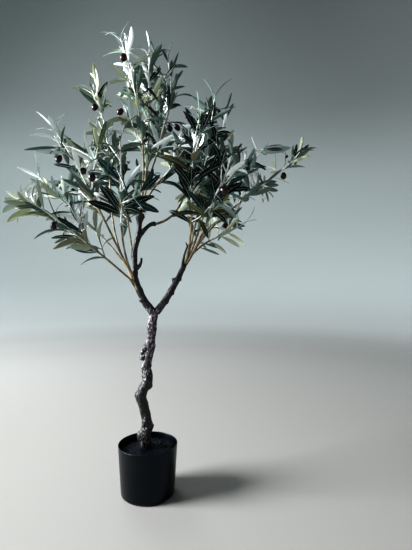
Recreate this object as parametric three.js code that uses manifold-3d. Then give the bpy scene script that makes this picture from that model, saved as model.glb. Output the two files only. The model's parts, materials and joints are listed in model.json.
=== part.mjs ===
// Artificial olive tree in a plain black pot, about 1.2 m tall.
// Millimetres, +Z up, +Y away from the front. The origin is the centre of the pot's flat underside.
// A dark moulded trunk forks into two boughs, the left one with an upright leader and a side branch.
// Thin tan stems leave the ends of the moulded bark and carry the sprays of leaves.
import * as THREE from "three";
import Module from "manifold-3d";

const wasm = await Module();
wasm.setup();

// ---------------------------------------------------------------- driving dimensions
const CLEARANCE = 0.35; // gap between neighbours that touch

const POT_HEIGHT = 128;
const POT_RIM_RADIUS = 76;
const POT_FOOT_RADIUS = 68.5; // where the straight wall would meet the floor
const POT_EDGE_RADIUS = 7; // rounding round the foot
const POT_WALL = 2.2;
const POT_FLOOR = 3;
const POT_SIDES = 36;

const FILL_TOP = 114; // the filling stops short of the rim
const FILL_DISH = 2.5; // it lies a little lower against the wall

const TRUNK_FOOT_Z = 115; // flat cut where the trunk meets the filling
const FORK = [17.4, -2.5, 473.6];
const TRUNK_SIDES = 10;
// The trunk's swings between its flat foot and its fork: share of the height, sideways, depth, diameter.
const TRUNK_SWINGS = [
  [0.0, -4.8, 0, 27],
  [0.04, -6.5, 0, 29.5],
  [0.09, -8, 1, 31],
  [0.15, -2.5, 4, 28.5],
  [0.245, -6.8, 2.5, 24.5],
  [0.36, -15.4, -4, 27],
  [0.42, -12.5, -7, 26.5],
  [0.495, 0.0, -5, 26.5],
  [0.585, -3.6, 2, 24],
  [0.69, 2.2, 5, 25],
  [0.81, 8.6, 2, 23.5],
  [0.92, 12.4, -1, 23.5],
  [1.0, FORK[0], FORK[1], 26],
];
// Knots of the bark: share of the height, compass side in degrees (90 is right), height on the bark.
const TRUNK_KNOTS = [
  [0.09, 268, 6],
  [0.158, 92, 3.5],
  [0.39, 268, 5],
  [0.47, 92, 4],
  [0.645, 265, 7.5],
  [0.7, 268, 5],
];

// The dark boughs: where they start and end, how far the middle bows out, and their diameters.
const BOUGHS = {
  bough_left: {
    from: [11.5, -4, 479], to: [-25.2, -18.8, 540.5], bow: [-3.2, -1.5, -2.5], foot: 20, tip: 15.5, knot: [0.45, 250, 1.5],
  },
  bough_right: {
    from: [24, -2, 479], to: [94.6, 15.5, 592.5], bow: [3.2, 0, -4.5], foot: 18, tip: 13, knot: [0.72, 280, 3.5],
  },
  leader_lower: {
    from: [-27.5, -18.5, 546], to: [-26.2, 3, 662], bow: [-6.5, 0, 0], foot: 14.5, tip: 13.4, knot: [0.3, 95, 3],
  },
  leader_upper: {
    from: [-25.2, 3.8, 667], to: [-21.2, 10.2, 721], bow: [-0.6, 0, 0], foot: 12, tip: 15, knot: [0.78, 265, 3],
  },
  side_branch: {
    from: [-22, 5, 668.5], to: [18, 16.2, 698], bow: [-3, 0, 4.5], foot: 12, tip: 9.5, knot: [0.6, 0, 1.5],
  },
};

// The tan stems. at: the moulded bough whose end they leave. Each one has a length, and a heading at its foot,
// middle and tip: compass degrees (0 is away from the front, 90 is right) and degrees above level.
// bare: the share of the length before its leaves start. leaf: how far leaves stand off it, at its widest.
// reach: how far the last leaves go beyond the stem's tip. flat: the mass's height against its width.
const STEM_DIAMETER = 5;
const STEM_TIP_DIAMETER = 2.6;
const STEM_SIDES = 6;
const STEMS = {
  low_left: { at: "bough_left", off: [-2, -5, -1], length: 310, heading: [[-118, 41], [-117, 38], [-98, 34]], bare: 0.3, leaf: 46, reach: 84, end: [-96, 8] },
  left: { at: "bough_left", off: [-10, 1, 17], length: 416, heading: [[-62, 54], [-68, 39], [-76, 44]], bare: 0.46, leaf: 46, reach: 66, end: [-80, 24] },
  upper_left: { at: "bough_left", off: [-13, -5, 25], length: 398, heading: [[-117, 61], [-113, 63.5], [-84, 54]], bare: 0.4, leaf: 54, reach: 84, end: [-85, 4] },
  tall_left: { at: "bough_left", off: [-13, 1, 25], length: 560, heading: [[-59, 47], [-24, 78], [-76, 59]], bare: 0.48, leaf: 50, reach: 76, end: [-50, 58] },
  front_left: { at: "bough_left", off: [-8, -7, 17], length: 334, heading: [[-140, 59], [171, 60], [191, 80]], bare: 0.42, leaf: 66, reach: 60, end: [200, 80] },
  back_left: { at: "bough_left", off: [-6, 4, 14], length: 430, heading: [[-20, 62], [-22, 50], [-40, 62]], bare: 0.46, leaf: 62, reach: 70, end: [-30, 70] },
  top: { at: "leader_upper", off: [-2, -2, -4], length: 440, heading: [[80, 80], [-154, 78], [-109, 71]], bare: 0.4, leaf: 46, reach: 76, end: [85, 66] },
  top_middle: { at: "leader_upper", off: [-2, 8, 0], length: 438, heading: [[45, 77], [101, 88], [167, 79]], bare: 0.3, leaf: 50, reach: 42, end: [180, 80] },
  top_right: { at: "leader_upper", off: [1, 4, -3], length: 462, heading: [[36, 81], [48, 71], [-82, 76.5]], bare: 0.36, leaf: 58, reach: 48, end: [-60, 80] },
  centre: { at: "leader_upper", off: [0, 6, 0], length: 311, heading: [[26, 71], [57, 48.5], [70, 82]], bare: 0.4, leaf: 52, reach: 56, end: [70, 75] },
  middle_right: { at: "side_branch", off: [-2, 0, -1], length: 273, heading: [[74, 13], [32, 71], [-9, 82]], bare: 0.42, leaf: 48, reach: 50, end: [-10, 70] },
  back_middle: { at: "leader_upper", off: [-1, 9, -6], length: 400, heading: [[-10, 70], [12, 58], [0, 72]], bare: 0.42, leaf: 62, reach: 60, end: [0, 72] },
  front_right: { at: "bough_right", off: [1, -3.5, 1], length: 355, heading: [[143, 60.5], [177, 65], [134, 68]], bare: 0.3, leaf: 62, reach: 45, end: [140, 80] },
  tall_right: { at: "bough_right", off: [3.6, 2.5, 1], length: 415, heading: [[119, 72], [144, 74], [141, 77.5]], bare: 0.42, leaf: 46, reach: 52, end: [-60, 74] },
  outer_right: { at: "bough_right", off: [5, 4.5, 0], length: 367, heading: [[91, 56], [106, 63.6], [93, 22]], bare: 0.42, leaf: 46, reach: 34, end: [60, 50] },
  far_right: { at: "bough_right", off: [5, -1.5, -2], length: 466, heading: [[79, 65], [72, 38], [77, 47]], bare: 0.46, leaf: 42, reach: 54, end: [86, 6] },
  low_right: { at: "bough_right", off: [6.6, 6.5, 5], length: 269, heading: [[35, 49], [47, 22], [60, 34]], bare: 0.2, leaf: 50, reach: 34, end: [70, -10] },
  back_right: { at: "bough_right", off: [5.5, 8.5, 4], length: 463, heading: [[59, 65], [42, 71], [39, 76]], bare: 0.4, leaf: 58, reach: 66, end: [60, 64] },
  forward_right: { at: "bough_right", off: [6.7, -5.5, 1], length: 296, heading: [[132, 54], [139, 55], [140, 66]], bare: 0.4, leaf: 50, reach: 50, end: [120, 66] },
};
// Extra sprays that fork off a stem: the share of its length where they leave, heading, length and leaf reach.
const FORKED_SPRAYS = {
  top_fork_left: { on: "top", at: 0.74, heading: [-70, 48], length: 95, leaf: 30 },
  top_fork_right: { on: "top_middle", at: 0.86, heading: [70, 66], length: 88, leaf: 36 },
  crest_right: { on: "top_right", at: 0.9, heading: [70, 38], length: 92, leaf: 34 },
  tall_left_side: { on: "tall_left", at: 0.86, heading: [-100, 30], length: 98, leaf: 34 },
  upper_left_side: { on: "upper_left", at: 0.86, heading: [-60, 70], length: 92, leaf: 30 },
  left_low: { on: "low_left", at: 0.74, heading: [-100, -6], length: 118, leaf: 28 },
  far_right_low: { on: "far_right", at: 0.8, heading: [95, -4], length: 100, leaf: 28 },
  far_right_high: { on: "far_right", at: 0.84, heading: [20, 80], length: 88, leaf: 26 },
  outer_right_high: { on: "outer_right", at: 0.74, heading: [-20, 76], length: 86, leaf: 28 },
};
const MASS_SIDES = 8;
const MASS_RINGS = 8;
const MASS_UNEVEN = 0.2; // share of the radius

// ---------------------------------------------------------------- small helpers
const V = (a) => new THREE.Vector3(...a);
const rad = THREE.MathUtils.degToRad;
const headingVector = ([compass, rise]) =>
  new THREE.Vector3(Math.cos(rad(rise)) * Math.sin(rad(compass)), Math.cos(rad(rise)) * Math.cos(rad(compass)), Math.sin(rad(rise)));

// A repeatable number from 0 to 1 for a whole number.
function chance(n) {
  let x = (n * 2654435761 + 374761393) >>> 0;
  x = Math.imul(x ^ (x >>> 15), 2246822519) >>> 0;
  x = Math.imul(x ^ (x >>> 13), 3266489917) >>> 0;
  return ((x ^ (x >>> 16)) >>> 0) / 4294967296;
}

// The line of a limb whose heading turns smoothly from its foot through its middle to its tip.
function grow(foot, length, headings, steps = 24) {
  const [a, b, c] = headings.map(headingVector);
  const points = [foot.clone()];
  for (let i = 0; i < steps; i++) {
    const t = (i + 0.5) / steps;
    const d = new THREE.Vector3()
      .addScaledVector(a, (1 - t) * (1 - 2 * t))
      .addScaledVector(b, 4 * t * (1 - t))
      .addScaledVector(c, t * (2 * t - 1))
      .normalize();
    points.push(points[i].clone().addScaledVector(d, length / steps));
  }
  return points;
}

// A point on a line of points, at a share of its length.
const along = (points, t) => new THREE.CatmullRomCurve3(points, false, "centripetal").getPoint(Math.min(1, Math.max(0, t)));

// One closed solid along a line: a ring of vertices at each station, with a flat cap at both ends.
// radius(t, angle) gives the distance of the surface from the line.
function sweep(points, rings, sides, radius, { flatFoot = false, squash = 1 } = {}) {
  const curve = new THREE.CatmullRomCurve3(points, false, "centripetal");
  const up = new THREE.Vector3(0, 1, 0);
  const position = [];
  for (let i = 0; i <= rings; i++) {
    const t = i / rings;
    const c = curve.getPointAt(t);
    const d = flatFoot && i === 0 ? new THREE.Vector3(0, 0, 1) : curve.getTangentAt(t);
    const side = new THREE.Vector3().crossVectors(up, d).normalize();
    const front = new THREE.Vector3().crossVectors(d, side).normalize();
    for (let k = 0; k < sides; k++) {
      const w = (2 * Math.PI * k) / sides;
      const r = radius(t, w);
      const p = c.clone().addScaledVector(side, Math.cos(w) * r).addScaledVector(front, Math.sin(w) * r * squash);
      position.push(p.x, p.y, p.z);
    }
  }
  const start = curve.getPoint(0), end = curve.getPoint(1);
  position.push(start.x, start.y, start.z, end.x, end.y, end.z);
  const foot = (rings + 1) * sides, tip = foot + 1, index = [];
  for (let i = 0; i < rings; i++)
    for (let k = 0; k < sides; k++) {
      const a = i * sides + k, b = i * sides + ((k + 1) % sides);
      index.push(a, b, b + sides, a, b + sides, a + sides);
    }
  for (let k = 0; k < sides; k++) {
    const n = (k + 1) % sides;
    index.push(foot, n, k, tip, rings * sides + k, rings * sides + n);
  }
  const solid = new wasm.Manifold(
    new wasm.Mesh({ numProp: 3, vertProperties: new Float32Array(position), triVerts: new Uint32Array(index) }),
  );
  if (solid.volume() >= 0) return solid;
  for (let i = 0; i < index.length; i += 3) [index[i + 1], index[i + 2]] = [index[i + 2], index[i + 1]];
  return new wasm.Manifold(
    new wasm.Mesh({ numProp: 3, vertProperties: new Float32Array(position), triVerts: new Uint32Array(index) }),
  );
}

// The largest of the bodies that a cut leaves.
function largest(solid) {
  const bodies = solid.decompose();
  return bodies.reduce((a, b) => (b.volume() > a.volume() ? b : a));
}

function cutBy(solid, cutters) {
  for (const c of cutters) solid = largest(solid.subtract(c));
  return solid;
}

function solidFromGeometry(geometry) {
  const g = geometry.clone();
  g.deleteAttribute("normal");
  g.deleteAttribute("uv");
  return g;
}

// ---------------------------------------------------------------- materials
const finish = {
  pot: new THREE.MeshStandardMaterial({ color: 0x17181b, roughness: 0.42, metalness: 0 }),
  fill: new THREE.MeshStandardMaterial({ color: 0x121214, roughness: 0.95, metalness: 0 }),
  bark: new THREE.MeshStandardMaterial({ color: 0x3a3130, roughness: 0.7, metalness: 0 }),
  stem: new THREE.MeshStandardMaterial({ color: 0x7d6a4e, roughness: 0.55, metalness: 0 }),
  leaf: new THREE.MeshStandardMaterial({ color: 0x46544c, roughness: 0.6, metalness: 0 }),
};

const tree = new THREE.Group();
function addMesh(name, geometry, material) {
  const mesh = new THREE.Mesh(geometry, material);
  mesh.name = name;
  tree.add(mesh);
}
function addSolid(name, solid, material) {
  const m = solid.getMesh();
  const g = new THREE.BufferGeometry();
  const v = new Float32Array(m.numVert * 3);
  for (let i = 0; i < m.numVert; i++) v.set(m.vertProperties.subarray(i * m.numProp, i * m.numProp + 3), i * 3);
  g.setAttribute("position", new THREE.BufferAttribute(v, 3));
  g.setIndex(new THREE.BufferAttribute(new Uint32Array(m.triVerts), 1));
  addMesh(name, g, material);
}

// ---------------------------------------------------------------- pot and filling
const wallRadius = (z) => POT_FOOT_RADIUS + ((POT_RIM_RADIUS - POT_FOOT_RADIUS) * z) / POT_HEIGHT;
function potProfile() {
  const p = [[0, 0]];
  const footFlat = wallRadius(0) - POT_EDGE_RADIUS;
  for (let i = 0; i <= 4; i++) {
    const w = (Math.PI / 2) * (i / 4);
    p.push([footFlat + Math.sin(w) * (POT_EDGE_RADIUS + 0.2), POT_EDGE_RADIUS * (1 - Math.cos(w))]);
  }
  p.push([wallRadius(POT_HEIGHT), POT_HEIGHT]);
  p.push([wallRadius(POT_HEIGHT) - POT_WALL, POT_HEIGHT]);
  p.push([wallRadius(POT_EDGE_RADIUS) - POT_WALL, POT_EDGE_RADIUS]);
  p.push([footFlat, POT_FLOOR]);
  p.push([0, POT_FLOOR]);
  return p.map(([x, y]) => new THREE.Vector2(x, y));
}
function lathed(profile) {
  return solidFromGeometry(new THREE.LatheGeometry(profile, POT_SIDES)).rotateX(Math.PI / 2);
}
addMesh("pot", lathed(potProfile()), finish.pot);

const inside = (z) => wallRadius(z) - POT_WALL - CLEARANCE - 0.4;
addMesh(
  "pot_filling",
  lathed(
    [
      [0, POT_FLOOR + CLEARANCE],
      [wallRadius(0) - POT_EDGE_RADIUS - 2, POT_FLOOR + CLEARANCE],
      [inside(POT_EDGE_RADIUS) - 0.6, POT_EDGE_RADIUS + 0.8],
      [inside(FILL_TOP - FILL_DISH), FILL_TOP - FILL_DISH],
      [inside(FILL_TOP) * 0.8, FILL_TOP],
      [0, FILL_TOP],
    ].map(([x, y]) => new THREE.Vector2(x, y)),
  ),
  finish.fill,
);

// ---------------------------------------------------------------- trunk and moulded boughs
const footZ = Math.max(TRUNK_FOOT_Z, FILL_TOP + CLEARANCE);
const trunkHeight = FORK[2] - footZ;
const trunkPoints = TRUNK_SWINGS.map(([t, x, y]) => new THREE.Vector3(x, y, footZ + t * trunkHeight));
const trunkRadius = (t) => {
  let i = 1;
  while (i < TRUNK_SWINGS.length - 1 && TRUNK_SWINGS[i][0] < t) i++;
  const [a, , , da] = TRUNK_SWINGS[i - 1], [b, , , db] = TRUNK_SWINGS[i];
  return THREE.MathUtils.lerp(da, db, THREE.MathUtils.clamp((t - a) / (b - a), 0, 1)) / 2;
};
// Knots and shallow ridges on a limb's surface. The ring's first vertex is at the right-hand side.
const compassOf = (w) => 90 - THREE.MathUtils.radToDeg(w);
function bark(t, w, knots) {
  let r = 0;
  for (const [at, compass, height, spread = 0.035] of knots) {
    const turn = Math.cos(rad(compassOf(w) - compass));
    r += height * Math.exp(-(((t - at) / spread) ** 2)) * Math.max(0, turn) ** 2;
  }
  return r;
}
const limbs = {}; // solid and cutter of each limb, in the order that they are made
function addLimb(name, points, rings, sides, radius, options, material, cutters) {
  const plain = sweep(points, rings, sides, radius, options);
  const solid = cutBy(plain, cutters);
  limbs[name] = { points, solid, cutter: sweep(points, rings, sides, (t, w) => radius(t, w) + CLEARANCE, options) };
  addSolid(name, solid, material);
}
addLimb(
  "trunk", trunkPoints, 26, TRUNK_SIDES,
  (t, w) => trunkRadius(t) * (1 + 0.035 * Math.sin(3 * w + 9 * t)) + bark(t, w, TRUNK_KNOTS),
  { flatFoot: true }, finish.bark, [],
);
for (const [name, b] of Object.entries(BOUGHS)) {
  const from = V(b.from), to = V(b.to);
  const points = [0, 0.25, 0.5, 0.75, 1].map((t) =>
    from.clone().lerp(to, t).addScaledVector(V(b.bow), 4 * t * (1 - t)),
  );
  const [at, compass, height] = b.knot;
  addLimb(
    name, points, 7, 8,
    (t, w) => THREE.MathUtils.lerp(b.foot, b.tip, t) / 2 + bark(t, w, [[at, compass, height, 0.12]]),
    {}, finish.bark, Object.values(limbs).map((l) => l.cutter),
  );
}

// ---------------------------------------------------------------- lines of the tan stems and the sprays
const sprays = [];
for (const [name, s] of Object.entries(STEMS)) {
  const foot = V(BOUGHS[s.at].to).add(V(s.off));
  const line = grow(foot, s.length, s.heading);
  const tip = line[line.length - 1];
  const beyond = tip.clone().addScaledVector(headingVector(s.end), s.reach);
  sprays.push({ name, line, from: s.bare, beyond, leaf: s.leaf, flat: s.flat ?? 0.86, stem: true });
}
for (const [name, f] of Object.entries(FORKED_SPRAYS)) {
  const parent = sprays.find((s) => s.name === f.on);
  const foot = along(parent.line, f.at);
  const tip = foot.clone().addScaledVector(headingVector(f.heading), f.length);
  const line = grow(foot, f.length * 0.55, [f.heading, f.heading, f.heading], 4);
  sprays.push({ name, line, from: 0.1, beyond: tip, leaf: f.leaf, flat: 0.9, stem: false });
}

// The mass of leaves round the outer part of a spray: full in the middle, narrowing to the last leaves.
function massOf(s, number, grown) {
  const points = [];
  for (let i = 0; i <= 5; i++) points.push(along(s.line, s.from + ((1 - s.from) * i) / 5));
  points.push(s.beyond);
  const bulge = (t) => (t < 0.36 ? 0.34 + 0.66 * Math.sin((Math.PI / 2) * (t / 0.36)) : 0.1 + 0.9 * Math.cos((Math.PI / 2) * ((t - 0.36) / 0.64)) ** 1.1);
  const uneven = (t, w) => {
    const i = Math.round(t * MASS_RINGS), k = Math.round((w / (2 * Math.PI)) * MASS_SIDES);
    return 1 + MASS_UNEVEN * (2 * chance(number * 7919 + i * 131 + k * 17) - 1);
  };
  return sweep(points, MASS_RINGS, MASS_SIDES, (t, w) => s.leaf * bulge(t) * uneven(t, w) + grown, { squash: s.flat });
}

const moulded = Object.values(limbs).map((l) => l.cutter);
const masses = [];
sprays.forEach((s, n) => {
  const others = masses.map((m) => m.cutter);
  masses.push({
    name: "leaves_" + s.name,
    solid: cutBy(massOf(s, n, 0), [...moulded, ...others]),
    cutter: massOf(s, n, CLEARANCE),
  });
});

// Each stem is bare up to the first mass that it enters.
for (const s of sprays.filter((x) => x.stem)) {
  const last = s.from + 0.08;
  const points = Array.from({ length: 7 }, (_, i) => along(s.line, (last * i) / 6));
  const radius = (t) => THREE.MathUtils.lerp(STEM_DIAMETER, STEM_TIP_DIAMETER, t * last) / 2;
  const cutters = [...Object.values(limbs).map((l) => l.cutter), ...masses.map((m) => m.cutter)];
  addLimb("stem_" + s.name, points, 6, STEM_SIDES, radius, {}, finish.stem, cutters);
}
for (const m of masses) addSolid(m.name, m.solid, finish.leaf);

export default tree;
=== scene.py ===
"""Artificial olive tree in a plain black pot. Metres, +Z up, +Y away from the front.

The frame gives the pot, trunk, boughs, stems and masses of leaves as plain solids. Here the bark gets its relief, the pot
and its filling their surface, and each mass is replaced by stems, twigs, leaves and olives that grow on from the limbs by
a seeded branching rule.
"""

import json
import math
import random

import bpy
import bmesh
import numpy as np
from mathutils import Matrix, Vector, noise

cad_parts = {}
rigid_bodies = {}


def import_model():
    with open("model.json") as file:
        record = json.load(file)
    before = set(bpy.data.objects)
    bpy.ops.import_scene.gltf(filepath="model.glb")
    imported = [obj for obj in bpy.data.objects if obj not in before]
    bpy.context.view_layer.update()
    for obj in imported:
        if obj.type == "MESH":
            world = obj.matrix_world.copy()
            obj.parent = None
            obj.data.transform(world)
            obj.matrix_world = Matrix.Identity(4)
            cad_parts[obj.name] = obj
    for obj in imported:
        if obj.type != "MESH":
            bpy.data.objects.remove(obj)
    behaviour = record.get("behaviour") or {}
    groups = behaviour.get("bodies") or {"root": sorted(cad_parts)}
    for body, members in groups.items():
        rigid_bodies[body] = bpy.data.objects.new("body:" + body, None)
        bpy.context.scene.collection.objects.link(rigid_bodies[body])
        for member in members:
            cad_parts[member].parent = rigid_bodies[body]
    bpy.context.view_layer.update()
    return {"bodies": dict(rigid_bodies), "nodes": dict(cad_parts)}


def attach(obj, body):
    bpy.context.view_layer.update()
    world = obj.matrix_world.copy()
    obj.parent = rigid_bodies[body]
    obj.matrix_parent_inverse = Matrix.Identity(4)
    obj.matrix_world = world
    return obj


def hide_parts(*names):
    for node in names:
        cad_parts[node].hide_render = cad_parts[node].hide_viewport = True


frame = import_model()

ROOT = list(frame["bodies"])[0]
NODES = frame["nodes"]
C = bpy.context
scene = C.scene

# ------------------------------------------------------------------ small helpers


def link(obj):
    C.collection.objects.link(obj)
    return obj


def srgb(r, g, b):
    """A linear colour from 0 to 255 values."""
    return tuple(((c / 255) / 12.92 if c <= 10 else (((c / 255) + 0.055) / 1.055) ** 2.4) for c in (r, g, b)) + (1.0,)


def v_add(a, b):
    return (a[0] + b[0], a[1] + b[1], a[2] + b[2])


def v_sub(a, b):
    return (a[0] - b[0], a[1] - b[1], a[2] - b[2])


def v_mul(a, k):
    return (a[0] * k, a[1] * k, a[2] * k)


def v_dot(a, b):
    return a[0] * b[0] + a[1] * b[1] + a[2] * b[2]


def v_cross(a, b):
    return (a[1] * b[2] - a[2] * b[1], a[2] * b[0] - a[0] * b[2], a[0] * b[1] - a[1] * b[0])


def v_len(a):
    return math.sqrt(v_dot(a, a))


def v_unit(a):
    n = v_len(a)
    return (a[0] / n, a[1] / n, a[2] / n) if n > 1e-12 else (0.0, 0.0, 1.0)


def v_mix(a, b, t):
    return (a[0] + (b[0] - a[0]) * t, a[1] + (b[1] - a[1]) * t, a[2] + (b[2] - a[2]) * t)


def v_turn(a, axis, w):
    """a turned about axis by w radians."""
    c, s = math.cos(w), math.sin(w)
    k = v_dot(a, axis) * (1 - c)
    x = v_cross(axis, a)
    return (a[0] * c + x[0] * s + axis[0] * k, a[1] * c + x[1] * s + axis[1] * k, a[2] * c + x[2] * s + axis[2] * k)


def heading(compass, rise):
    c, e = math.radians(compass), math.radians(rise)
    return (math.cos(e) * math.sin(c), math.cos(e) * math.cos(c), math.sin(e))


def across(d):
    """A unit vector square to d."""
    k = (0.0, 0.0, 1.0) if abs(d[2]) < 0.9 else (1.0, 0.0, 0.0)
    return v_unit(v_cross(d, k))


# ------------------------------------------------------------------ camera, light and stage

camera = bpy.data.cameras.new("camera")
camera.lens, camera.sensor_width = 26.0, 36.0
camera.clip_start, camera.clip_end = 0.05, 50
eye = link(bpy.data.objects.new("camera", camera))
eye.location = (0.1505, -1.03, 0.563)
eye.rotation_euler = (math.pi / 2, 0, 0)
scene.camera = eye


def area_light(name, place, target, size, watts, colour, spread=180):
    light = bpy.data.lights.new(name, "AREA")
    light.shape, light.size, light.energy, light.color = "DISK", size, watts, colour
    light.spread = math.radians(spread)
    o = link(bpy.data.objects.new(name, light))
    o.location = place
    o.rotation_euler = (Vector(target) - Vector(place)).to_track_quat("-Z", "Y").to_euler()
    o.visible_camera = False
    return o


area_light("key_light", (-3.625, -0.75, 1.94), (0.05, 0.0, 0.62), 2.0, 270, (0.97, 0.985, 1.0), 140)
area_light("fill_light", (1.9, -2.0, 1.9), (0.0, 0.0, 0.6), 2.4, 1, (0.93, 0.97, 1.0))
area_light("side_light", (-2.3, -0.35, 2.3), (-4.3, -0.6, 2.3), 3.2, 40, (0.97, 0.985, 1.0))
area_light("back_light", (-1.2, 2.2, 2.3), (0.0, 0.0, 0.7), 1.6, 24, (0.97, 0.99, 1.0))

world = bpy.data.worlds.new("studio")
scene.world = world
world.use_nodes = True
world.node_tree.nodes["Background"].inputs["Color"].default_value = (0.80, 0.86, 0.88, 1)
world.node_tree.nodes["Background"].inputs["Strength"].default_value = 0.135

scene.view_settings.view_transform = "Standard"
scene.view_settings.look = "High Contrast"
scene.view_settings.exposure = 0.0


def plain(name, colour, rough=0.5, specular=0.5):
    m = bpy.data.materials.new(name)
    m.use_nodes = True
    b = m.node_tree.nodes["Principled BSDF"]
    b.inputs["Base Color"].default_value = colour
    b.inputs["Roughness"].default_value = rough
    b.inputs["Specular IOR Level"].default_value = specular
    return m


def stage_bowl():
    """A round pale floor that turns up into a grey backdrop all round, out beyond every camera."""
    flat, cove, top, sides = 2.5, 1.8, 7.0, 96
    ring = [(0.0, 0.0), (0.6, 0.0), (1.2, 0.0), (1.8, 0.0), (flat, 0.0)]
    for i in range(1, 13):
        w = math.pi / 2 * i / 12
        ring.append((flat + cove * math.sin(w), cove * (1 - math.cos(w))))
    ring.append((flat + cove, top))
    verts, faces = [], []
    for r, z in ring[1:]:
        for k in range(sides):
            a = 2 * math.pi * k / sides
            verts.append((r * math.cos(a), r * math.sin(a), z))
    for i in range(len(ring) - 2):
        for k in range(sides):
            n = (k + 1) % sides
            faces.append((i * sides + k, i * sides + n, (i + 1) * sides + n, (i + 1) * sides + k))
    verts.append((0, 0, 0))
    for k in range(sides):
        faces.append((len(verts) - 1, (k + 1) % sides, k))
    me = bpy.data.meshes.new("stage_bowl")
    me.from_pydata(verts, [], faces)
    me.validate()
    bm = bmesh.new()
    bm.from_mesh(me)
    bmesh.ops.recalc_face_normals(bm, faces=bm.faces)
    bmesh.ops.reverse_faces(bm, faces=bm.faces)
    bm.to_mesh(me)
    bm.free()
    for p in me.polygons:
        p.use_smooth = True
    o = link(bpy.data.objects.new("stage_bowl", me))
    m = plain("stage_paint", (0.6, 0.59, 0.57, 1), 0.85, 0.2)
    nt = m.node_tree
    # painted light: lighter where the floor turns up, making up for the light that falls off over the far floor, so
    # that no edge shows behind the plant
    geo, sep = nt.nodes.new("ShaderNodeNewGeometry"), nt.nodes.new("ShaderNodeSeparateXYZ")
    span, up = nt.nodes.new("ShaderNodeVectorMath"), nt.nodes.new("ShaderNodeMath")
    span.operation, up.operation = "LENGTH", "ADD"
    share = nt.nodes.new("ShaderNodeMapRange")
    share.inputs["From Max"].default_value = 8.0
    ramp = nt.nodes.new("ShaderNodeValToRGB")
    ramp.color_ramp.interpolation = "EASE"
    ramp.color_ramp.elements[0].position, ramp.color_ramp.elements[0].color = 0.08, (0.31, 0.304, 0.292, 1)
    ramp.color_ramp.elements[1].position, ramp.color_ramp.elements[1].color = 1.0, (0.31, 0.34, 0.34, 1)
    ramp.color_ramp.elements.new(0.25).color = (0.335, 0.336, 0.328, 1)
    ramp.color_ramp.elements.new(0.33).color = (0.37, 0.378, 0.374, 1)
    ramp.color_ramp.elements.new(0.40).color = (0.425, 0.449, 0.449, 1)
    ramp.color_ramp.elements.new(0.52).color = (0.46, 0.50, 0.50, 1)
    ramp.color_ramp.elements.new(0.77).color = (0.43, 0.472, 0.472, 1)
    nt.links.new(geo.outputs["Position"], sep.inputs["Vector"])
    nt.links.new(geo.outputs["Position"], span.inputs[0])
    nt.links.new(span.outputs["Value"], up.inputs[0])
    nt.links.new(sep.outputs["Z"], up.inputs[1])
    nt.links.new(up.outputs["Value"], share.inputs["Value"])
    nt.links.new(share.outputs["Result"], ramp.inputs["Fac"])
    # and painted shade below the key light, where it is close to the floor, to even out its pool of light
    near = nt.nodes.new("ShaderNodeMapRange")
    near.interpolation_type = "SMOOTHSTEP"
    near.inputs["From Min"].default_value, near.inputs["From Max"].default_value = 0.2, 2.6
    near.inputs["To Min"].default_value, near.inputs["To Max"].default_value = 0.2, 1.0
    below, flat_out, reach = (nt.nodes.new("ShaderNodeVectorMath") for _ in range(3))
    below.operation, flat_out.operation, reach.operation = "SUBTRACT", "MULTIPLY", "LENGTH"
    below.inputs[1].default_value, flat_out.inputs[1].default_value = (-2.6, -0.5, 0.0), (1.0, 1.0, 1.9)
    # and painted light high up on the key light side, which its light reaches less
    tilt, painted_light_high_up, painted_light_and_shade = nt.nodes.new("ShaderNodeMath"), nt.nodes.new("ShaderNodeMapRange"), nt.nodes.new("ShaderNodeMath")
    tilt.operation = painted_light_and_shade.operation = "MULTIPLY"
    painted_light_high_up.interpolation_type = "SMOOTHSTEP"
    painted_light_high_up.inputs["From Min"].default_value, painted_light_high_up.inputs["From Max"].default_value = -7.0, 7.0
    painted_light_high_up.inputs["To Min"].default_value, painted_light_high_up.inputs["To Max"].default_value = 1.5, 0.62
    nt.links.new(sep.outputs["X"], tilt.inputs[0])
    nt.links.new(sep.outputs["Z"], tilt.inputs[1])
    nt.links.new(tilt.outputs["Value"], painted_light_high_up.inputs["Value"])
    shade = nt.nodes.new("ShaderNodeVectorMath")
    shade.operation = "SCALE"
    nt.links.new(geo.outputs["Position"], below.inputs[0])
    nt.links.new(below.outputs["Vector"], flat_out.inputs[0])
    nt.links.new(flat_out.outputs["Vector"], reach.inputs[0])
    nt.links.new(reach.outputs["Value"], near.inputs["Value"])
    nt.links.new(ramp.outputs["Color"], shade.inputs[0])
    nt.links.new(near.outputs["Result"], painted_light_and_shade.inputs[0])
    nt.links.new(painted_light_high_up.outputs["Result"], painted_light_and_shade.inputs[1])
    nt.links.new(painted_light_and_shade.outputs["Value"], shade.inputs["Scale"])
    nt.links.new(shade.outputs["Vector"], nt.nodes["Principled BSDF"].inputs["Base Color"])
    o.data.materials.append(m)
    return o


stage_bowl()

# ------------------------------------------------------------------ materials


def noise_bump(m, scale, strength, distance, detail=4.0, kind="noise"):
    """Adds a bump from a noise in object space to a material."""
    nt = m.node_tree
    b = nt.nodes["Principled BSDF"]
    co = nt.nodes.new("ShaderNodeTexCoord")
    tex = nt.nodes.new("ShaderNodeTexNoise" if kind == "noise" else "ShaderNodeTexVoronoi")
    tex.inputs["Scale"].default_value = scale
    if kind == "noise":
        tex.inputs["Detail"].default_value = detail
    bump = nt.nodes.new("ShaderNodeBump")
    bump.inputs["Strength"].default_value = strength
    bump.inputs["Distance"].default_value = distance
    nt.links.new(co.outputs["Object"], tex.inputs["Vector"])
    nt.links.new(tex.outputs["Fac" if kind == "noise" else "Distance"], bump.inputs["Height"])
    nt.links.new(bump.outputs["Normal"], b.inputs["Normal"])
    return m


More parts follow.
